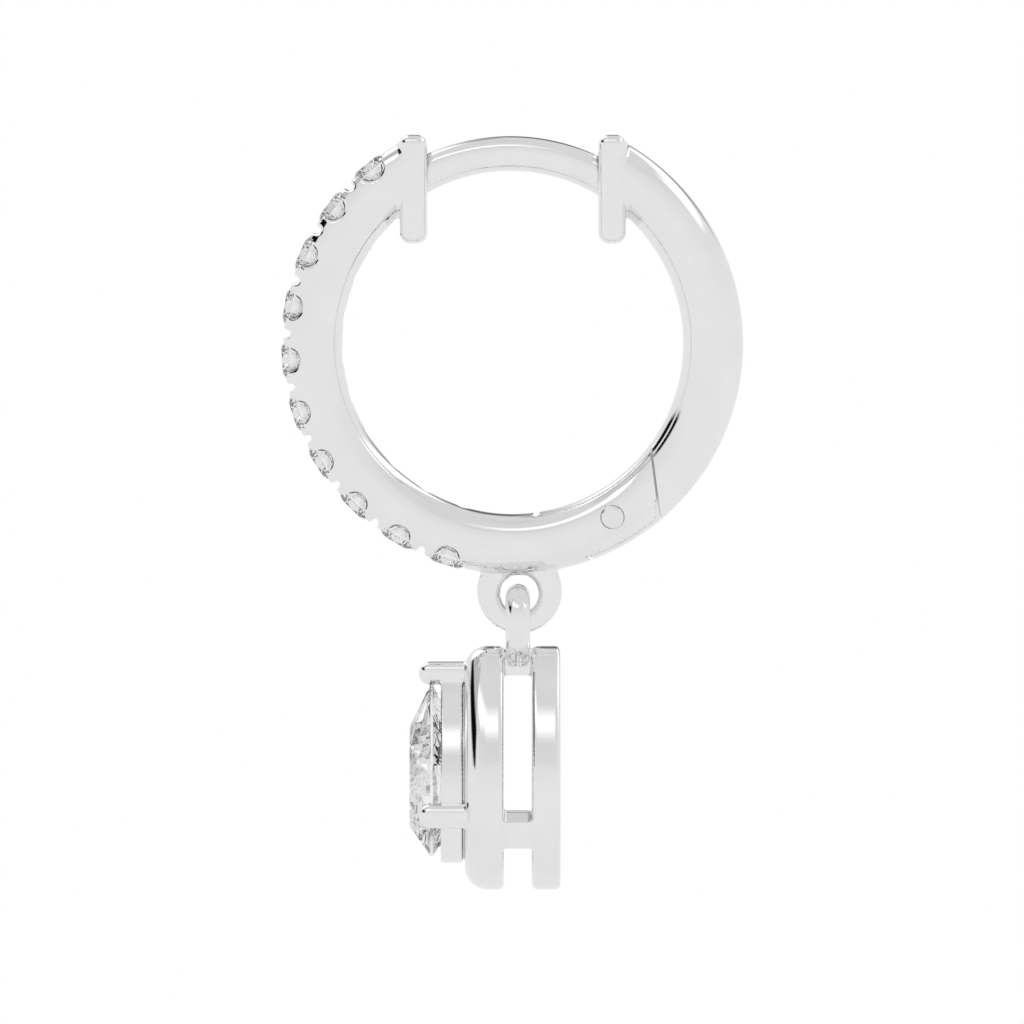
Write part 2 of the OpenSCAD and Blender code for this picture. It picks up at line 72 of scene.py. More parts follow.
# Turns a solid form into a mesh of quads that keeps sharp edges: one point for each grid cell
# that the surface passes through, set where the surface's planes at the cell's edges meet.
def skinOf(shape, low, high, step):
    axes = [np.arange(low[k], high[k] + step, step) for k in range(3)]
    size = [len(a) for a in axes]
    field = shape(axes[0][:, None, None], axes[1][None, :, None], axes[2][None, None, :])
    field = np.broadcast_to(field, size)
    inside = field < 0
    cellShape = [n - 1 for n in size]
    strides = (cellShape[1] * cellShape[2], cellShape[2], 1)
    owners, points, quads = [], [], []
    for axis in range(3):
        others = [k for k in range(3) if k != axis]
        head = [slice(None)] * 3
        tail = [slice(None)] * 3
        head[axis] = slice(0, -1)
        tail[axis] = slice(1, None)
        for k in others:  # edges on the grid's rim have no four cells
            head[k] = slice(1, -1)
            tail[k] = slice(1, -1)
        first, second = inside[tuple(head)], inside[tuple(tail)]
        found = np.argwhere(first != second)
        for k in others:
            found[:, k] += 1
        a = field[tuple(found.T)]
        following = found.copy()
        following[:, axis] += 1
        b = field[tuple(following.T)]
        place = np.stack([axes[k][found[:, k]] for k in range(3)], -1)
        lowEnd = place.copy()
        t0, t1 = np.zeros(len(a)), np.full(len(a), step)
        f0, f1 = a.copy(), b.copy()
        for _ in range(skin["rounds"]):  # false position, kept away from the ends
            margin = skin["keepOff"] * (t1 - t0)
            t = np.clip(t0 - f0 * (t1 - t0) / (f1 - f0), t0 + margin, t1 - margin)
            place[:, axis] = lowEnd[:, axis] + t
            f = shape(place[:, 0], place[:, 1], place[:, 2])
            same = (f < 0) == (f0 < 0)
            t0, f0 = np.where(same, t, t0), np.where(same, f, f0)
            t1, f1 = np.where(same, t1, t), np.where(same, f1, f)
        t = t0 - f0 * (t1 - t0) / (f1 - f0)
        place[:, axis] = lowEnd[:, axis] + np.clip(t, 0, step)
        base = found @ np.array(strides)
        around = [base - strides[others[0]] - strides[others[1]], base - strides[others[1]],
                  base, base - strides[others[0]]]
        flip = (a < 0) == (axis == 1)  # the loop's sense for this axis
        ring = np.stack(around, 1)
        ring[flip] = ring[flip][:, ::-1]
        quads.append(ring)
        for cell in around:
            owners.append(cell)
            points.append(place)
    quads = np.concatenate(quads)
    owners = np.concatenate(owners)
    points = np.concatenate(points)
    cells, index = np.unique(owners, return_inverse=True)
    normals = slopeOf(shape, points[:, 0], points[:, 1], points[:, 2])
    count = np.bincount(index, minlength=len(cells))
    middle = np.stack([np.bincount(index, points[:, k], len(cells)) for k in range(3)], -1) / count[:, None]
    offset = np.einsum("ij,ij->i", normals, points - middle[index])
    matrix = np.zeros((len(cells), 3, 3))
    for i in range(3):
        for j in range(i, 3):
            matrix[:, i, j] = matrix[:, j, i] = np.bincount(index, normals[:, i] * normals[:, j], len(cells))
    side = np.stack([np.bincount(index, normals[:, k] * offset, len(cells)) for k in range(3)], -1)
    matrix[:, range(3), range(3)] += skin["hold"] * count[:, None]  # holds flat places near their middle
    verts = middle + np.linalg.solve(matrix, side[..., None])[..., 0]
    cellPlace = np.stack(np.unravel_index(cells, cellShape), -1)
    corner = np.array([axes[k][0] for k in range(3)]) + cellPlace * step
    verts = np.clip(verts, corner - skin["past"] * step, corner + (1 + skin["past"]) * step)
    faces = np.searchsorted(cells, quads)
    return verts, faces


def pieceFrom(name, shape, low, high, step):
    verts, faces = skinOf(shape, low, high, step)
    mesh = bpy.data.meshes.new(name)
    mesh.vertices.add(len(verts))
    mesh.vertices.foreach_set("co", (verts * mm).astype(np.float32).ravel())
    mesh.loops.add(faces.size)
    mesh.loops.foreach_set("vertex_index", faces.astype(np.int32).ravel())
    mesh.polygons.add(len(faces))
    mesh.polygons.foreach_set("loop_start", np.arange(0, faces.size, 4, dtype=np.int32))
    mesh.polygons.foreach_set("use_smooth", np.ones(len(faces), bool))
    mesh.update(calc_edges=True)
    mesh.validate()
    corners = verts[faces]
    near = corners + skin["inward"] * (corners.mean(1, keepdims=True) - corners)  # just inside each face
    near = near.reshape(-1, 3)
    mesh.normals_split_custom_set(slopeOf(shape, near[:, 0], near[:, 1], near[:, 2]))
    piece = bpy.data.objects.new(name, mesh)
    bpy.context.scene.collection.objects.link(piece)
    print(name, len(verts), "points", len(faces), "faces")
    return piece


# The hoop's sizes, shared by both halves, in mm and degrees
hoop = {
    "z": -5.70, "outer": 6.91, "inner": 5.11, "halfWidth": 0.9, "round": 0.88, "stoneRound": 0.7,
    "stonesEnd": (262.0, 272.0),
    "plateX": 2.98, "plateHalf": 0.41, "plateTop": 0.554, "plateTall": 3.253, "plateEdge": 0.32,
    "plateFillet": 0.12, "coverX": 0.35, "coverZ": 0.25,
    "pinX": 2.9868, "pinZ": -10.9153, "jointReach": 1.41, "jointTilt": 7.4, "jointGap": 0.07,
    "knuckle": 1.36, "tailAngle": 143.2, "tailLong": 1.83, "rootPast": 0.18, "tongueHalf": 0.4,
    "tongueEdge": 0.05, "slotPlay": 0.05, "slotOver": 0.12, "slotEdge": 0.04,
}


def bandAt(r, y, outerRound):
    middle = (hoop["outer"] + hoop["inner"]) / 2
    edge = np.where(r < middle, hoop["round"], outerRound)
    return roundBox(r - middle, y, (hoop["outer"] - hoop["inner"]) / 2, hoop["halfWidth"], edge)


def eased(value, low, high):
    share = np.clip((value - low) / (high - low), 0, 1)
    return share * share * (3 - 2 * share)


def turnedAbout(x, z, atX, atZ, angle):
    c, s = math.cos(math.radians(angle)), math.sin(math.radians(angle))
    return (x - atX) * c + (z - atZ) * s, (z - atZ) * c - (x - atX) * s


def backSideOf(x, z):  # above zero on the back half's side of the joint line
    return turnedAbout(x, z, hoop["pinX"], hoop["pinZ"], hoop["jointTilt"])[0] - hoop["jointReach"]


def endPlate(side, x, y, z):
    top, tall, half = hoop["plateTop"], hoop["plateTall"], hoop["plateHalf"]
    corner = hoop["plateEdge"]
    u = np.abs(x - side * hoop["plateX"]) - half + corner
    v = np.abs(y) - hoop["halfWidth"] + corner
    w = np.abs(z - top + tall / 2) - tall / 2 + corner
    outside = np.sqrt(np.maximum(u, 0) ** 2 + np.maximum(v, 0) ** 2 + np.maximum(w, 0) ** 2)
    return outside + np.minimum(np.maximum(np.maximum(u, v), w), 0) - corner


def withPlate(body, side, x, y, z):  # the band stops under the plate's top, and a fillet joins them
    inside = hoop["plateX"] + hoop["coverX"] - side * x
    body = np.maximum(body, np.minimum(inside, z - hoop["plateTop"] + hoop["coverZ"]))
    return roundMin(body, endPlate(side, x, y, z), hoop["plateFillet"])


def tongueOutline(x, z, r, grow, endGrow):
    ring = np.maximum(r - hoop["outer"] - endGrow, hoop["inner"] - endGrow - r)
    reach = hoop["knuckle"] + grow
    round_ = np.hypot(x - hoop["pinX"], z - hoop["pinZ"]) - reach
    u, v = turnedAbout(x, z, hoop["pinX"], hoop["pinZ"], hoop["tailAngle"])
    tail = np.maximum(np.maximum(u - hoop["tailLong"] - endGrow, -u), np.maximum(v - reach, -v))
    u, v = turnedAbout(x, z, hoop["pinX"], hoop["pinZ"], hoop["jointTilt"])
    root = np.maximum(u - hoop["jointReach"] - hoop["rootPast"], -u)
    root = np.maximum(root, np.abs(v) - 2 * hoop["knuckle"])
    return np.maximum(ring, np.minimum(np.minimum(round_, tail), root))


# The curved post, which goes through the ear lobe
post = {"x": -0.07, "z": -5.595, "middle": 5.595, "half": 0.525, "tipAngle": 121.54, "rootAngle": 56.97,
        "play": 0.02, "socketOver": 0.06, "socketEdge": 0.03}


def postAt(x, y, z, play):  # a round wire, and its two ends
    r = np.hypot(x - post["x"], z - post["z"])
    bar = np.hypot(r - post["middle"], y) - post["half"] - play
    turn = np.degrees(np.arctan2(z - post["z"], x - post["x"]))
    ends = np.maximum(turn - post["tipAngle"], post["rootAngle"] - turn)  # in degrees
    return bar, ends * math.radians(1) * post["middle"]


# The row of stones, in degrees round the hoop and mm, and what is cut round each: its seat with the
# hole behind it, the windows at its sides, and the notches and channel that leave the prongs
stones = {"count": 10, "first": 129.3, "step": 13.75, "girdleR": 6.681, "r": 0.72, "crown": 0.259}
setting = {"azure": 0.274, "holeTop": 6.7, "holePast": 0.1, "coneTop": 6.267, "seat": 0.75, "seatFoot": 6.651,
           "seatTop": 6.741, "mouth": 0.44, "windowR": 0.32, "windowDepth": 0.48, "lip": (0.18, 0.1),
           "lipAt": (6.5, 6.8), "notchFloor": 6.67, "notchR": 0.11, "notchEdge": 0.1, "channelHalf": 0.35,
           "channelOver": 4.6}
# The loop under the hoop, which the charm hangs from, and the hinge's pin
loop = {"x": 0.2, "z": -13.123, "r": 1.27, "half": 0.3, "edge": 0.14, "holeZ": -13.201, "holeR": 0.57,
        "holeEdge": 0.24, "fillet": 0.12}
pin = {"r": 0.36, "half": 0.95, "edge": 0.14, "frontHole": 0.372, "backHole": 0.4}


def alongBand(a, r, share):  # folds the band onto one stone: along the band, and out from its centre
    at = (a - stones["first"]) / stones["step"] + share
    nearest = np.clip(np.round(at), share * 2, stones["count"] - 1)
    turn = np.radians((at - nearest) * stones["step"])
    return r * np.sin(turn), r * np.cos(turn)


def stoneSeat(t, y, n):
    s = setting
    rho = np.hypot(t, y)
    slope = math.atan2(s["seatFoot"] - s["coneTop"], s["seat"] - s["azure"])
    lower = (rho - s["azure"]) * math.sin(slope) - (n - s["coneTop"]) * math.cos(slope)
    rise = math.atan2(stones["crown"], s["seat"] - s["mouth"])
    upper = (rho - s["seat"]) * math.sin(rise) + (n - s["seatTop"]) * math.cos(rise)
    seat = np.maximum(np.maximum(rho - s["seat"], lower), upper)
    hole = np.maximum(rho - s["azure"], np.maximum(n - s["holeTop"], hoop["inner"] - s["holePast"] - n))
    mouth = np.maximum(rho - s["mouth"], s["seatTop"] - n)
    return np.minimum(np.minimum(seat, hole), mouth)


def hoopFront(x, y, z):
    r = np.hypot(x, z - hoop["z"])
    a = np.degrees(np.arctan2(z - hoop["z"], x)) % 360
    outerRound = hoop["stoneRound"] + (hoop["round"] - hoop["stoneRound"]) * eased(a, *hoop["stonesEnd"])
    body = np.maximum(bandAt(r, y, outerRound), backSideOf(x, z) + hoop["jointGap"] / 2)
    body = np.maximum(body, -np.maximum(-hoop["plateX"] - x, hoop["z"] - z))
    body = withPlate(body, -1, x, y, z)
    rho = np.hypot(x - loop["x"], z - loop["z"])
    hole = loop["holeR"] - np.hypot(x - loop["x"], z - loop["holeZ"])
    eye = roundMax(roundMax(np.abs(y) - loop["half"], rho - loop["r"], loop["edge"]), hole, loop["holeEdge"])
    body = roundMin(body, eye, loop["fillet"])
    slot = np.maximum(np.abs(y) - hoop["tongueHalf"] - hoop["slotPlay"],
                      tongueOutline(x, z, r, hoop["slotPlay"], hoop["slotOver"]))
    body = roundMax(body, -slot, hoop["slotEdge"])
    body = np.maximum(body, pin["frontHole"] - np.hypot(x - hoop["pinX"], z - hoop["pinZ"]))
    bar, ends = postAt(x, y, z, post["play"])
    body = roundMax(body, -np.maximum(bar, ends - post["socketOver"]), post["socketEdge"])
    # stones' seats, windows, notches and the channel between the two rows of prongs
    t, n = alongBand(a, r, 0)
    window = np.hypot(t, np.minimum(n - hoop["outer"] + setting["windowDepth"] - setting["windowR"], 0))
    window = np.maximum(window - setting["windowR"], hoop["inner"] - n)
    seat = stoneSeat(t, y, n)
    inner, outer = setting["lip"]
    body = roundMax(body, -window, inner + (outer - inner) * eased(n, *setting["lipAt"]))
    t, n = alongBand(a, r, 0.5)
    notch = np.hypot(t, np.minimum(n - setting["notchFloor"] - setting["notchR"], 0)) - setting["notchR"]
    middle = stones["first"] + stones["step"] * (stones["count"] - 1) / 2
    span = stones["step"] * (stones["count"] - 1) / 2 + setting["channelOver"]
    channel = np.maximum(setting["notchFloor"] - r, np.abs(y) - setting["channelHalf"])
    channel = np.maximum(channel, (np.abs(a - middle) - span) * math.radians(1) * r)
    body = roundMax(body, -np.minimum(notch, channel), setting["notchEdge"])
    return np.maximum(body, -seat)


def hoopBack(x, y, z):
    r = np.hypot(x, z - hoop["z"])
    body = np.maximum(bandAt(r, y, hoop["round"]), hoop["jointGap"] / 2 - backSideOf(x, z))
    body = np.maximum(body, np.minimum(hoop["plateX"] - x, z - hoop["z"]))
    body = withPlate(body, 1, x, y, z)
    tongue = roundMax(tongueOutline(x, z, r, 0, 0), np.abs(y) - hoop["tongueHalf"], hoop["tongueEdge"])
    body = np.minimum(body, np.maximum(tongue, bandAt(r, y, hoop["round"])))
    body = np.maximum(body, pin["backHole"] - np.hypot(x - hoop["pinX"], z - hoop["pinZ"]))
    bar, ends = postAt(x, y, z, 0)
    return np.minimum(body, np.maximum(bar, ends))


def hingePin(x, y, z):
    side = np.hypot(x - hoop["pinX"], z - hoop["pinZ"]) - pin["r"]
    return roundMax(side, np.abs(y) - pin["half"], pin["edge"])


# The charm hangs in the hoop's plane: x is its depth, y its width, z up it
charm = {
    "x": 0.15, "z": -19.248, "rim": (2.83, 3.48, 1.0), "lean": 20, "edge": 0.17,
    "front": (-1.59, -0.42), "frontRound": 0.7, "back": (0.42, 1.28), "wall": 0.9, "wallEdge": 0.02,
    "stone": (1.83, 3.31, 0.06), "opening": -0.2, "openingEdge": 0.05, "seat": (-2.765, -2.33),
    "seatPlay": 0.03, "gallery": (-2.31, -1.65), "galleryReach": 0.2, "galleryEdge": 0.08,
    "grooveReach": 0.1, "grooveHalf": 0.12, "topBar": (0.43, 3.59, 4.36), "barHalf": 0.6,
    "sideBarAngle": -26, "sideBar": (1.96, 2.75, 0.435), "barEdge": 0.05, "barFillet": 0.12,
    "sideProng": (2.035, 0.375, -2.961), "sideProngAngle": -17.5, "tipProng": (3.648, 0.36, -2.967),
    "prongFoot": -1.49, "prongFillet": 0.08,
    "bail": (5.08, 0.895, 0.37), "bailFillet": 0.15,
}


def pearAt(u, v, size, grow=0.0):  # u is the distance from the middle line
    # radius of the round end, height of the tip's centre above its own, radius of the tip
    wide, long, tip = size[0] + grow, size[1], size[2] + grow
    lean = math.radians(charm["lean"])
    side = (wide * wide + long * long - tip * tip - 2 * long * wide * math.sin(lean)) \
        / (2 * (wide - tip - long * math.sin(lean)))  # the flank's radius
    sx, sy = (side - wide) * math.cos(lean), (side - wide) * math.sin(lean)
    turn = math.atan2(long + sy, sx)
    flank = np.hypot(u + sx, v + sy) - side
    end = np.where(np.arctan2(v + sy, u + sx) > turn, np.hypot(u, v - long) - tip, flank)
    return np.where(v < u * math.tan(lean), np.hypot(u, v) - wide, end)


def barAlong(u, v, angle, low, high, half):  # a bar's section in the charm's face, lengthwise along w
    along, across = turnedAbout(u, v, 0, 0, angle)
    return roundBox(along - (low + high) / 2, across, (high - low) / 2, half, charm["barEdge"])


def prongAt(u, v, w, angle, reach, r, end):  # a round wire with a ball end
    along, across = turnedAbout(u, v, 0, 0, angle)
    wire = np.hypot(np.hypot(along - reach, across), np.minimum(w - end - r, 0)) - r
    return np.maximum(wire, w - charm["prongFoot"])


def slab(w, low, high):  # a slab across the charm's depth
    return np.abs(w - (low + high) / 2) - (high - low) / 2


def charmFrame(x, y, z):
    c = charm
    u, v, w = np.abs(y), z - c["z"], x - c["x"]
    rim = pearAt(u, v, c["rim"])
    front = roundMax(roundMax(rim, c["front"][0] - w, c["frontRound"]), w - c["front"][1], c["edge"])
    gallery = roundMax(pearAt(u, v, c["stone"], c["galleryReach"]), slab(w, *c["gallery"]), c["galleryEdge"])
    groove = np.maximum(pearAt(u, v, c["stone"], c["grooveReach"]),
                        np.abs(w - c["gallery"][1]) - c["grooveHalf"])
    body = np.minimum(np.minimum(front, gallery), groove)
    side = prongAt(u, v, w, c["sideProngAngle"], *c["sideProng"])
    tip = prongAt(y, v, w, 90, *c["tipProng"])
    body = roundMin(body, np.minimum(side, tip), c["prongFillet"])
    body = roundMax(body, c["opening"] - pearAt(u, v, c["stone"]), c["openingEdge"])
    body = np.maximum(body, -np.maximum(pearAt(u, v, c["stone"], c["seatPlay"]), slab(w, *c["seat"])))
    back = roundMax(roundMax(rim, -rim - c["wall"], c["wallEdge"]), slab(w, *c["back"]), c["edge"])
    half, low, high = c["topBar"]
    topBar = roundBox(u, v - (low + high) / 2, half, (high - low) / 2, c["barEdge"])
    sideBar = barAlong(u, v, c["sideBarAngle"], *c["sideBar"])
    bars = np.maximum(np.minimum(topBar, sideBar), np.abs(w) - c["barHalf"])
    body = roundMin(np.minimum(body, back), bars, c["barFillet"])
    bail = np.hypot(np.hypot(y, v - c["bail"][0]) - c["bail"][1], w) - c["bail"][2]
    return roundMin(body, bail, c["bailFillet"])


def grid(step):  # the grid's step, as given
    return step


# The box that each metal piece is worked in, and its grid's step, in mm
metalPieces = (
    {"name": "hoopFront", "shape": hoopFront, "low": (-7.0, -1.0, -14.5), "high": (4.3, 1.0, 0.7),
     "step": 0.05, "body": "front_half", "node": "hoop_front", "slot": "metal"},
    {"name": "hoopBack", "shape": hoopBack, "low": (-3.1, -1.0, -12.8), "high": (7.0, 1.0, 0.7),
     "step": 0.05, "body": "back_half", "node": "hoop_back", "slot": "metal"},
    {"name": "hingePin", "shape": hingePin, "low": (2.5, -1.0, -11.4), "high": (3.45, 1.0, -10.45),
     "step": 0.025, "body": "front_half", "node": "hinge_pin", "slot": "pin_metal"},
    {"name": "charmFrame", "shape": charmFrame, "low": (-3.0, -2.95, -22.2), "high": (1.55, 2.95, -12.8),
     "step": 0.055, "body": "drop", "node": "charm_frame", "slot": "metal"},
)
metals = []
for row in metalPieces:
    piece = pieceFrom(row["name"], row["shape"], row["low"], row["high"], grid(row["step"]))
    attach(piece, row["body"])
    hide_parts(row["node"])
    metals.append(piece)
front, back, pinPiece, frameRings = metals
print("metal pieces made")


# A brilliant cut: a prism on the stone's outline, sliced by the plane of each facet. Mains are the
# directions, in degrees, that its main facets look to, and the table points along +z.
cut = {"starRise": 0.61, "lowDrop": 0.77, "halves": (0.25, 0.75), "spare": 0.01, "merge": 1e-5}


def planeThrough(a, b, c):
    normal = (b - a).cross(c - a).normalized()
    return a, normal if normal.z >= 0 else -normal


def cutStone(name, outline, centre, mains, look):
    crown, girdle, pavilion, table = (look[k] for k in ("crown", "girdle", "pavilion", "table"))
    points = [Vector((x, y, 0)) for x, y in outline]
    middle = Vector((centre[0], centre[1], 0))
    away = [Vector((math.cos(math.radians(a)), math.sin(math.radians(a)), 0)) for a in mains]

    def reach(way):  # how far the outline goes that way from the middle
        return max((p - middle).dot(way) for p in points)

    def ridge(i, share, level):  # where two neighbouring main facets meet
        one, two = away[i - 1], away[i]
        first, second = reach(one) * share, reach(two) * share
        across = one.x * two.y - one.y * two.x
        return middle + Vector(((first * two.y - second * one.y) / across,
                                (second * one.x - first * two.x) / across, level))

    def sloped(way, low, lowLevel, high, highLevel):  # a plane across way, at two distances and levels
        normal = way * (highLevel - lowLevel) + Vector((0, 0, low - high))
        return middle + way * low + Vector((0, 0, lowLevel)), normal.normalized()

    planes = []
    for i, way in enumerate(away):
        full = reach(way)
        planes.append(sloped(way, full, girdle, full * table, girdle + crown))
        planes.append(sloped(way, 0.0, -pavilion, full, 0.0))
        corners = []
        for toward in (away[i - 1], way):
            furthest = max(points, key=lambda p: (p - middle).dot(toward))
            corners.append(middle + (furthest - middle) * table + Vector((0, 0, girdle + crown)))
        high = ridge(i, 1 - (1 - table) * cut["starRise"], girdle + crown * cut["starRise"])
        deep = ridge(i, 1 - cut["lowDrop"], -pavilion * cut["lowDrop"])
        planes.append(planeThrough(corners[0], corners[1], high))
        turn = away[i - 1].angle(way)
        for share in cut["halves"]:
            between = away[i - 1] * math.sin(turn * (1 - share)) + way * math.sin(turn * share)
            between.normalize()
            wide = reach(between)
            planes.append(sloped(between, wide, girdle, (high - middle).dot(between), high.z))
            planes.append(sloped(between, (deep - middle).dot(between), deep.z, wide, 0.0))
    work = bmesh.new()
    foot = [work.verts.new((p.x, p.y, -pavilion - cut["spare"])) for p in points]
    top = [work.verts.new((p.x, p.y, girdle + crown)) for p in points]
    work.faces.new(foot[::-1])
    work.faces.new(top)
    for k in range(len(points)):
        work.faces.new((foot[k - 1], foot[k], top[k], top[k - 1]))
    for at, out in planes:
        bmesh.ops.bisect_plane(work, geom=work.verts[:] + work.edges[:] + work.faces[:], dist=cut["merge"],
                               plane_co=at, plane_no=out, clear_outer=True)
        bmesh.ops.holes_fill(work, edges=work.edges[:], sides=0)
    bmesh.ops.recalc_face_normals(work, faces=work.faces[:])
    mesh = bpy.data.meshes.new(name)
    work.to_mesh(mesh)
    work.free()
    return mesh


def stonePiece(mesh, name, place, body, node):
    mesh.transform(Matrix.Scale(mm, 4) @ place)
    piece = bpy.data.objects.new(name, mesh)
    bpy.context.scene.collection.objects.link(piece)
    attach(piece, body)
    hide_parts(node)
    return piece


smallCut = {"crown": 0.229, "girdle": 0.03, "pavilion": 0.619, "table": 0.57, "sides": 64, "folds": 8}
circle = [(stones["r"] * math.cos(math.tau * k / smallCut["sides"]),
           stones["r"] * math.sin(math.tau * k / smallCut["sides"])) for k in range(smallCut["sides"])]
mains = [k * 360 / smallCut["folds"] for k in range(smallCut["folds"])]
roundStone = cutStone("smallStone", circle, (0, 0), mains, smallCut)
gems = []
for i in range(stones["count"]):
    angle = math.radians(stones["first"] + i * stones["step"])
    outward = Vector((math.cos(angle), 0, math.sin(angle)))
    along = Vector((math.sin(angle), 0, -math.cos(angle)))
    place = Matrix((along, (0, 1, 0), outward)).transposed().to_4x4()
    place.translation = outward * stones["girdleR"] + Vector((0, 0, hoop["z"]))
    number = "%02d" % (i + 1)
    gems.append(stonePiece(roundStone.copy(), "smallStone" + number, place, "front_half", "stone_" + number))

pearCut = {"crown": 0.62, "girdle": 0.075, "pavilion": 1.537, "table": 0.578, "girdleBack": -2.55,
           "centre": 0.3, "mains": (-90, -54, -18, 16, 34, 90, 146, 164, 198, 234), "steps": 120,
           "furthest": 6.0, "halvings": 40}


def pearOutline(size, steps):  # points on the outline, found from its middle
    out = []
    for k in range(steps):
        angle = math.tau * (k + 0.5) / steps
        low, high = 0.0, pearCut["furthest"]
        for _ in range(pearCut["halvings"]):
            reach = (low + high) / 2
            aside, up = reach * math.cos(angle), pearCut["centre"] + reach * math.sin(angle)
            inside = pearAt(np.abs(aside), up, size) < 0
            low, high = (reach, high) if inside else (low, reach)
        out.append((low * math.cos(angle), pearCut["centre"] + low * math.sin(angle)))
    return out


pear = cutStone("pearStone", pearOutline(charm["stone"], pearCut["steps"]), (0, pearCut["centre"]),
                pearCut["mains"], pearCut)
place = Matrix(((0, -1, 0), (0, 0, 1), (-1, 0, 0))).transposed().to_4x4()
place.translation = Vector((charm["x"] + pearCut["girdleBack"], 0, charm["z"]))
gems.append(stonePiece(pear, "pearStone", place, "drop", "pear_stone"))
print("stones cut,", len(gems), "in all")


# Materials
def shaderOf(name):
    material = bpy.data.materials.new(name)
    material.use_nodes = True
    return material, material.node_tree, material.node_tree.nodes["Principled BSDF"]


def noiseIn(tree, scale):
    place = tree.nodes.new("ShaderNodeTexCoord")
    noise = tree.nodes.new("ShaderNodeTexNoise")
    noise.inputs["Scale"].default_value = scale
    tree.links.new(place.outputs["Object"], noise.inputs["Vector"])
    return noise.outputs["Fac"]


def tintFrom(tree, noise, dark, light, low, high):
    tint = tree.nodes.new("ShaderNodeValToRGB")
    first, last = tint.color_ramp.elements
    first.position, first.color = low, dark
    last.position, last.color = high, light
    tree.links.new(noise, tint.inputs["Fac"])
    return tint.outputs["Color"]


# The dark colour and the ambient occlusion settings below paint shade into the base colour near close walls
metalLook = {"light": (0.89, 0.89, 0.892, 1), "dark": (0.87, 0.87, 0.873, 1), "clouds": 900.0,
             "cloudsFrom": 0.35, "cloudsTo": 0.65, "rough": 0.03, "roughMore": 0.03,
             "paintedShade": (0.06, 0.06, 0.063, 1), "crevice": 0.00008, "tries": 4, "blackAt": 0.15,
             "unshadedAt": 0.75, "alone": True, "grain": 9000.0, "bump": 0.004, "bumpDeep": 0.00002}
# Painted shade: the back half also darkens where it meets the front one
jointLook = dict(metalLook, alone=False, crevice=0.00015)
pinLook = dict(metalLook, light=(0.87, 0.87, 0.873, 1), dark=(0.85, 0.85, 0.854, 1), rough=0.05)


def polishedMetal(name, look):
    material, tree, shader = shaderOf(name)
    nodes, links = tree.nodes, tree.links
    clouds = noiseIn(tree, look["clouds"])
    tint = tintFrom(tree, clouds, look["dark"], look["light"], look["cloudsFrom"], look["cloudsTo"])
    crevice = nodes.new("ShaderNodeAmbientOcclusion")  # painted shade: the colour goes near black where two walls are close, standing in for shade in crevices and gaps
    crevice.samples, crevice.only_local = look["tries"], look["alone"]
    crevice.inputs["Distance"].default_value = look["crevice"]
    unshadedShare = nodes.new("ShaderNodeMapRange")
    unshadedShare.inputs["From Min"].default_value = look["blackAt"]
    unshadedShare.inputs["From Max"].default_value = look["unshadedAt"]
    links.new(crevice.outputs["AO"], unshadedShare.inputs["Value"])
    # painted shade: where walls are close, the base colour is mixed towards the dark shade colour
    creviceShade = nodes.new("ShaderNodeMix")
    creviceShade.data_type = "RGBA"
    creviceShade.inputs["A"].default_value = look["paintedShade"]
    links.new(unshadedShare.outputs["Result"], creviceShade.inputs["Factor"])
    links.new(tint, creviceShade.inputs["B"])
    links.new(creviceShade.outputs["Result"], shader.inputs["Base Color"])
    rough = nodes.new("ShaderNodeMapRange")
    rough.inputs["To Min"].default_value = look["rough"]
    rough.inputs["To Max"].default_value = look["rough"] + look["roughMore"]
    links.new(clouds, rough.inputs["Value"])
    links.new(rough.outputs["Result"], shader.inputs["Roughness"])
    bump = nodes.new("ShaderNodeBump")
    bump.inputs["Strength"].default_value = look["bump"]
    bump.inputs["Distance"].default_value = look["bumpDeep"]
    links.new(noiseIn(tree, look["grain"]), bump.inputs["Height"])
    links.new(bump.outputs["Normal"], shader.inputs["Normal"])
    shader.inputs["Metallic"].default_value = 1.0
    return material


smallStoneLook = {"clear": (1, 1, 1, 1), "cool": (0.97, 0.98, 0.985, 1), "ior": 2.15, "clouds": 1200.0}
pearStoneLook = dict(smallStoneLook, clouds=500.0)


def clearStone(name, look):
    material, tree, shader = shaderOf(name)
    tint = tintFrom(tree, noiseIn(tree, look["clouds"]), look["cool"], look["clear"], 0, 1)
    tree.links.new(tint, shader.inputs["Base Color"])
    shader.inputs["Roughness"].default_value = 0.0
    shader.inputs["Transmission Weight"].default_value = 1.0
    shader.inputs["IOR"].default_value = look["ior"]
    return material


metal = polishedMetal("polishedSilver", metalLook)
backMetal = polishedMetal("polishedSilverBack", jointLook)
pinMetal = polishedMetal("pinSilver", pinLook)
smallClear = clearStone("smallClearStone", smallStoneLook)
pearClear = clearStone("pearClearStone", pearStoneLook)
for piece in (front, frameRings):
    piece.data.materials.append(metal)
back.data.materials.append(backMetal)
pinPiece.data.materials.append(pinMetal)
for gem in gems:
    gem.data.materials.append(pearClear if gem.name == "pearStone" else smallClear)
for name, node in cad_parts.items():
    node.data.materials.clear()
    node.data.materials.append(smallClear if "stone" in name else metal)
print("materials on")

# Light runs far inside the stones, so it gets more bounces there
bounces = {"all": 12, "mirror": 8, "through": 12}
bpy.context.scene.cycles.max_bounces = bounces["all"]
bpy.context.scene.cycles.glossy_bounces = bounces["mirror"]
bpy.context.scene.cycles.transmission_bounces = bounces["through"]

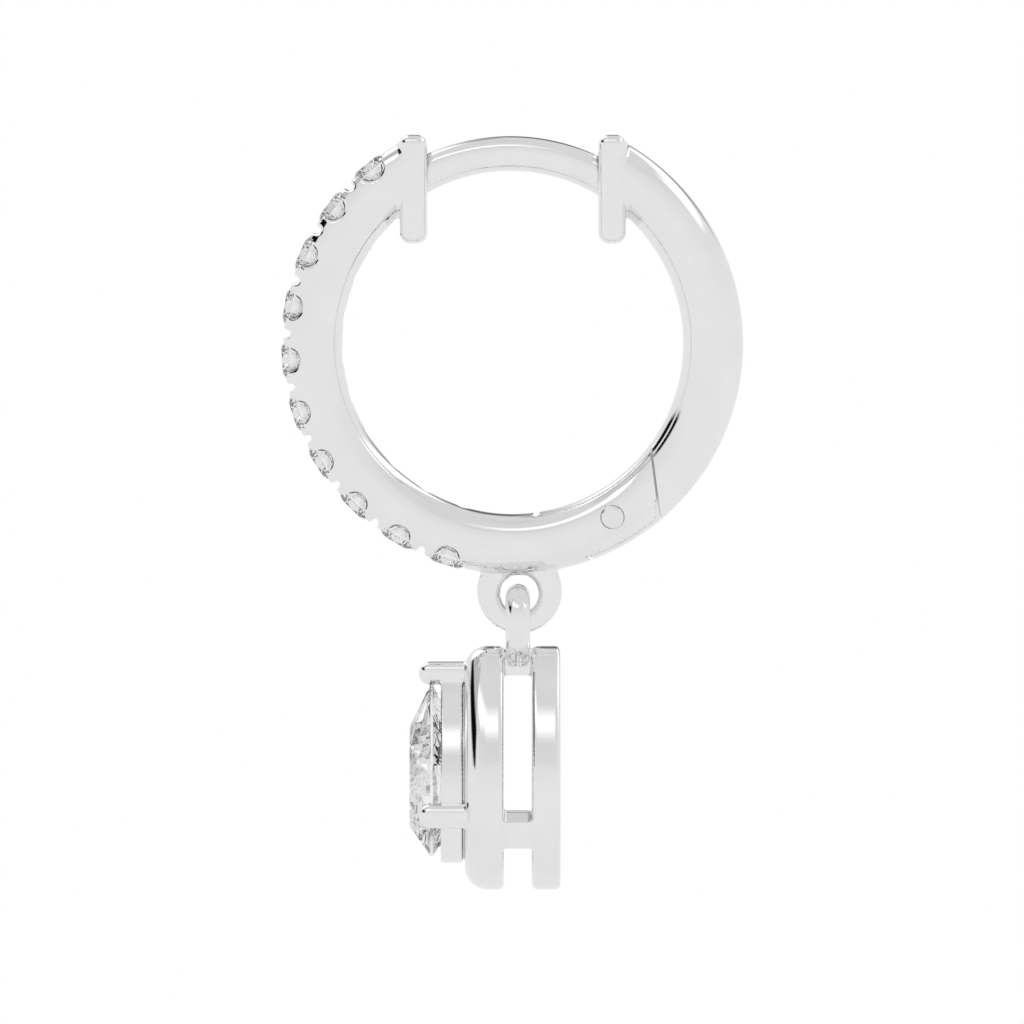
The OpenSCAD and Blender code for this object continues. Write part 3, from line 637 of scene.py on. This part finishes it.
# Light: a studio all round. Directions are in degrees: az 0 is in front of the hoop, +90 to its
# right, el 0 is level. "seen" is the brightness of 255 that it gives polished silver, and "silver"
# is the share of the light that the silver gives back.
studio = {
    "silver": 0.88, "white": 255, "foot": 0.055, "power": 2.4, "backdrop": (1, 1, 1, 1),
    "byHeight": ((-90, 232), (-40, 231), (-10, 228), (0, 227), (12, 226), (22, 223), (34, 221), (40, 216),
                 (46, 212), (62, 213), (74, 214), (82, 210), (90, 199)),
    # name, az, el, half its width and height, how soft its sides and ends are, seen
    "panels": (
        ("right box", 118, 40, 36, 7.5, 6, 4, 275),
        ("dark foot", 158, 24, 20, 4.5, 12, 5, 118),
        ("dark behind", 174, 36, 12, 12, 7, 8, 98),
        ("grey behind", 192, 52, 7, 8, 4, 8, 145),
        ("left box", -141, 46, 17, 16, 5, 6, 275),
        ("grey left", -98, 49, 19, 13, 6, 4, 184),
        ("black left", -97, 30.5, 24, 7.5, 5, 2.5, 8),
        ("front strip", -24, 55, 34, 4, 18, 4.5, 275),
        ("strip's left end", -60, 51, 17, 4.5, 5, 2.5, 275),
    ),
}


def levelOf(seen):  # from a brightness on the screen to light, grey in all three colours
    share = seen / studio["white"]
    level = ((share + studio["foot"]) / (1 + studio["foot"])) ** studio["power"] / studio["silver"]
    return level, level, level, 1


world = bpy.data.worlds.new("studio")
bpy.context.scene.world = world
world.use_nodes = True
tree = world.node_tree
background = tree.nodes["Background"]


def mathNode(kind, *values):
    node = tree.nodes.new("ShaderNodeMath")
    node.operation = kind
    for socket, value in zip(node.inputs, values):
        if isinstance(value, (int, float)):
            socket.default_value = value
        else:
            tree.links.new(value, socket)
    return node.outputs["Value"]


def softEdge(distance, half, soft):  # 1 inside, 0 outside
    node = tree.nodes.new("ShaderNodeMapRange")
    node.interpolation_type = "SMOOTHSTEP"
    tree.links.new(distance, node.inputs["Value"])
    limits = {"From Min": half - soft, "From Max": half + soft, "To Min": 1.0, "To Max": 0.0}
    for name, value in limits.items():
        node.inputs[name].default_value = value
    return node.outputs["Result"]


def mixed(share, first, second):
    node = tree.nodes.new("ShaderNodeMix")
    node.data_type = "RGBA"
    tree.links.new(share, node.inputs["Factor"])
    tree.links.new(first, node.inputs["A"])
    node.inputs["B"].default_value = second
    return node.outputs["Result"]


place = tree.nodes.new("ShaderNodeTexCoord")
split = tree.nodes.new("ShaderNodeSeparateXYZ")
tree.links.new(place.outputs["Generated"], split.inputs["Vector"])
toFront = mathNode("MULTIPLY", split.outputs["Y"], -1.0)
azimuth = mathNode("DEGREES", mathNode("ARCTAN2", split.outputs["X"], toFront))
height = mathNode("DEGREES", mathNode("ARCSINE", split.outputs["Z"]))
ramp = tree.nodes.new("ShaderNodeValToRGB")
tree.links.new(mathNode("DIVIDE", mathNode("ADD", height, 90.0), 180.0), ramp.inputs["Fac"])
while len(ramp.color_ramp.elements) < len(studio["byHeight"]):
    ramp.color_ramp.elements.new(0.5)
for stop, (at, seen) in zip(ramp.color_ramp.elements, studio["byHeight"]):
    stop.position = (at + 90) / 180
    stop.color = levelOf(seen)
light = ramp.outputs["Color"]
for name, az, el, wide, tall, softWide, softTall, seen in studio["panels"]:
    aside = mathNode("ABSOLUTE", mathNode("WRAP", mathNode("SUBTRACT", azimuth, float(az)), 180.0, -180.0))
    above = mathNode("ABSOLUTE", mathNode("SUBTRACT", height, float(el)))
    cover = mathNode("MULTIPLY", softEdge(aside, wide, softWide), softEdge(above, tall, softTall))
    light = mixed(cover, light, levelOf(seen))
    light.node.label = name
seenByCamera = tree.nodes.new("ShaderNodeLightPath").outputs["Is Camera Ray"]
backdrop = mixed(seenByCamera, light, studio["backdrop"])  # the photo's plain white behind the earring
tree.links.new(backdrop, background.inputs["Color"])

# Floor, below the view
floorLook = {"reach": 0.2, "low": -0.030, "color": (0.93, 0.93, 0.93, 1), "rough": 0.8, "glow": 0.125}
floorMesh = bpy.data.meshes.new("floor")
reach, low = floorLook["reach"], floorLook["low"]
corners = [(-reach, -reach, low), (reach, -reach, low), (reach, reach, low), (-reach, reach, low)]
floorMesh.from_pydata(corners, [], [(0, 1, 2, 3)])
floor = bpy.data.objects.new("floor", floorMesh)
bpy.context.scene.collection.objects.link(floor)
floorMaterial, tree, shader = shaderOf("paleFloor")
shader.inputs["Base Color"].default_value = floorLook["color"]
shader.inputs["Roughness"].default_value = floorLook["rough"]
shader.inputs["Emission Color"].default_value = (1, 1, 1, 1)
shader.inputs["Emission Strength"].default_value = floorLook["glow"]
floorMesh.materials.append(floorMaterial)

# Camera, level with the earring and square to the hoop
cameraLook = {"x": -0.000024, "z": -0.010758, "away": 1.0, "sensor": 36.0, "lens": 1171.9, "near": 0.01,
              "far": 10}
cameraData = bpy.data.cameras.new("camera")
cameraData.sensor_width, cameraData.lens = cameraLook["sensor"], cameraLook["lens"]
cameraData.clip_start, cameraData.clip_end = cameraLook["near"], cameraLook["far"]
camera = bpy.data.objects.new("camera", cameraData)
camera.location = (cameraLook["x"], -cameraLook["away"], cameraLook["z"])
camera.rotation_euler = (math.pi / 2, 0, 0)
bpy.context.scene.collection.objects.link(camera)
bpy.context.scene.camera = camera
bpy.context.scene.view_settings.view_transform = "Standard"
print("studio ready")
